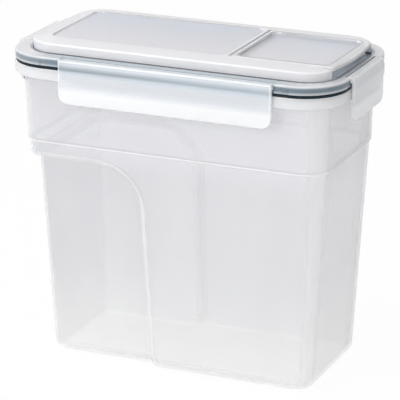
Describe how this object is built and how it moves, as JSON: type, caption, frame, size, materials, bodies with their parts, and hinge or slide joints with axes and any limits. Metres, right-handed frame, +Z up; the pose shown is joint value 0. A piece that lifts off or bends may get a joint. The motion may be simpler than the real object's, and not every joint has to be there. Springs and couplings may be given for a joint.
{
  "type": "food storage container",
  "caption": "Tall rectangular food container with a sunk hand grip, a gasketed lid held by hinged side latches, and a hinged pouring flap in the lid.",
  "frame": {"origin": "middle of the flat base, on the surface the container stands on", "axes": "+X along the length to the pouring end, +Z up, the long front side faces -Y"},
  "size_m": [0.2466, 0.1328, 0.229],
  "materials": {
    "clear_body": "slightly hazy clear plastic with a smooth gloss",
    "tinted_rim": "translucent plastic with a light blue-grey tint",
    "frosted_lid": "frosted translucent plastic with a satin top",
    "frosted_latch": "frosted translucent plastic, nearly white",
    "dark_silicone": "dark teal silicone, satin"
  },
  "bodies": {
    "container": {"container_body": "clear_body"},
    "lid": {"lid_frame": "tinted_rim", "lid_gasket": "dark_silicone", "lid_top_panel": "frosted_lid"},
    "pour_flap": {"pour_flap": "frosted_lid", "pour_flap_seal": "dark_silicone"},
    "front_latch": {"front_latch": "frosted_latch"},
    "right_latch": {"right_latch": "frosted_latch"},
    "back_latch": {"back_latch": "frosted_latch"},
    "left_latch": {"left_latch": "frosted_latch"}
  },
  "joints": [
    {"name": "lid_lift", "type": "slide", "parent": "container", "child": "lid", "axis": [0, 0, 1], "range_m": [0, 0.02]},
    {"name": "front_latch_hinge", "type": "hinge", "parent": "lid", "child": "front_latch", "pos_m": [0, -0.06125, 0.219], "axis": [-1, 0, 0], "range_deg": [0, 100]},
    {"name": "right_latch_hinge", "type": "hinge", "parent": "lid", "child": "right_latch", "pos_m": [0.11815, 0, 0.219], "axis": [0, -1, 0], "range_deg": [0, 100]},
    {"name": "back_latch_hinge", "type": "hinge", "parent": "lid", "child": "back_latch", "pos_m": [0, 0.06125, 0.219], "axis": [1, 0, 0], "range_deg": [0, 100]},
    {"name": "left_latch_hinge", "type": "hinge", "parent": "lid", "child": "left_latch", "pos_m": [-0.11815, 0, 0.219], "axis": [0, 1, 0], "range_deg": [0, 100]},
    {"name": "pour_flap_hinge", "type": "hinge", "parent": "lid", "child": "pour_flap", "pos_m": [0.0394, 0, 0.2271], "axis": [0, -1, 0], "range_deg": [0, 105]}
  ],
  "couplings": [
    {"joint": "front_latch_hinge", "follows": "lid_lift", "rad_per_m": 87.2},
    {"joint": "right_latch_hinge", "follows": "lid_lift", "rad_per_m": 87.2},
    {"joint": "back_latch_hinge", "follows": "lid_lift", "rad_per_m": 87.2},
    {"joint": "left_latch_hinge", "follows": "lid_lift", "rad_per_m": 87.2}
  ]
}
